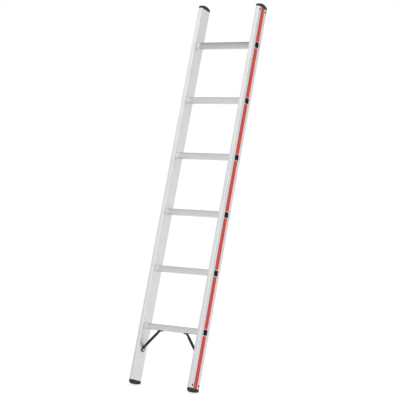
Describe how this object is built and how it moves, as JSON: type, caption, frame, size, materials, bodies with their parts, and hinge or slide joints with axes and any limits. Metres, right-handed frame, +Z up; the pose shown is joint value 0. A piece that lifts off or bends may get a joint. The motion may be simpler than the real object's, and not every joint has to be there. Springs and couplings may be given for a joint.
{
  "type": "single section ladder",
  "caption": "Leaning aluminium ladder: fluted box rungs expanded into hollow box rails, with domed end caps, rubber-soled feet, corner braces and red edge stripes.",
  "frame": {"origin": "on the floor, midway between the flat parts of the two foot soles", "axes": "+Z up, +X from the left rail to the right rail, +Y to the rear, the way the ladder leans; the rails lean back 18 degrees from +Z"},
  "size_m": [0.3588, 0.6448, 1.8022],
  "materials": {
    "rail_aluminium": "satin, as extruded",
    "rung_aluminium": "satin, as extruded",
    "rivet_aluminium": "satin",
    "cap_plastic": "matte, fine mould grain",
    "plug_plastic": "matte",
    "sole_rubber": "matte",
    "brace_steel": "black coating, satin",
    "stripe_film": "satin red film"
  },
  "bodies": {
    "root": {"left_rail": "rail_aluminium", "right_rail": "rail_aluminium", "rung_1": "rung_aluminium", "rung_2": "rung_aluminium", "rung_3": "rung_aluminium", "rung_4": "rung_aluminium", "rung_5": "rung_aluminium", "rung_6": "rung_aluminium", "left_rung_plug_1": "plug_plastic", "left_rung_plug_2": "plug_plastic", "left_rung_plug_3": "plug_plastic", "left_rung_plug_4": "plug_plastic", "left_rung_plug_5": "plug_plastic", "left_rung_plug_6": "plug_plastic", "left_top_cap": "cap_plastic", "left_foot": "cap_plastic", "left_foot_sole": "sole_rubber", "left_brace": "brace_steel", "left_brace_rail_rivet": "rivet_aluminium", "left_brace_rung_rivet": "rivet_aluminium", "left_stripe_1": "stripe_film", "left_stripe_2": "stripe_film", "left_stripe_3": "stripe_film", "left_stripe_4": "stripe_film", "left_stripe_5": "stripe_film", "left_stripe_6": "stripe_film", "left_stripe_7": "stripe_film", "right_rung_plug_1": "plug_plastic", "right_rung_plug_2": "plug_plastic", "right_rung_plug_3": "plug_plastic", "right_rung_plug_4": "plug_plastic", "right_rung_plug_5": "plug_plastic", "right_rung_plug_6": "plug_plastic", "right_top_cap": "cap_plastic", "right_foot": "cap_plastic", "right_foot_sole": "sole_rubber", "right_brace": "brace_steel", "right_brace_rail_rivet": "rivet_aluminium", "right_brace_rung_rivet": "rivet_aluminium", "right_stripe_1": "stripe_film", "right_stripe_2": "stripe_film", "right_stripe_3": "stripe_film", "right_stripe_4": "stripe_film", "right_stripe_5": "stripe_film", "right_stripe_6": "stripe_film", "right_stripe_7": "stripe_film"}
  },
  "joints": []
}
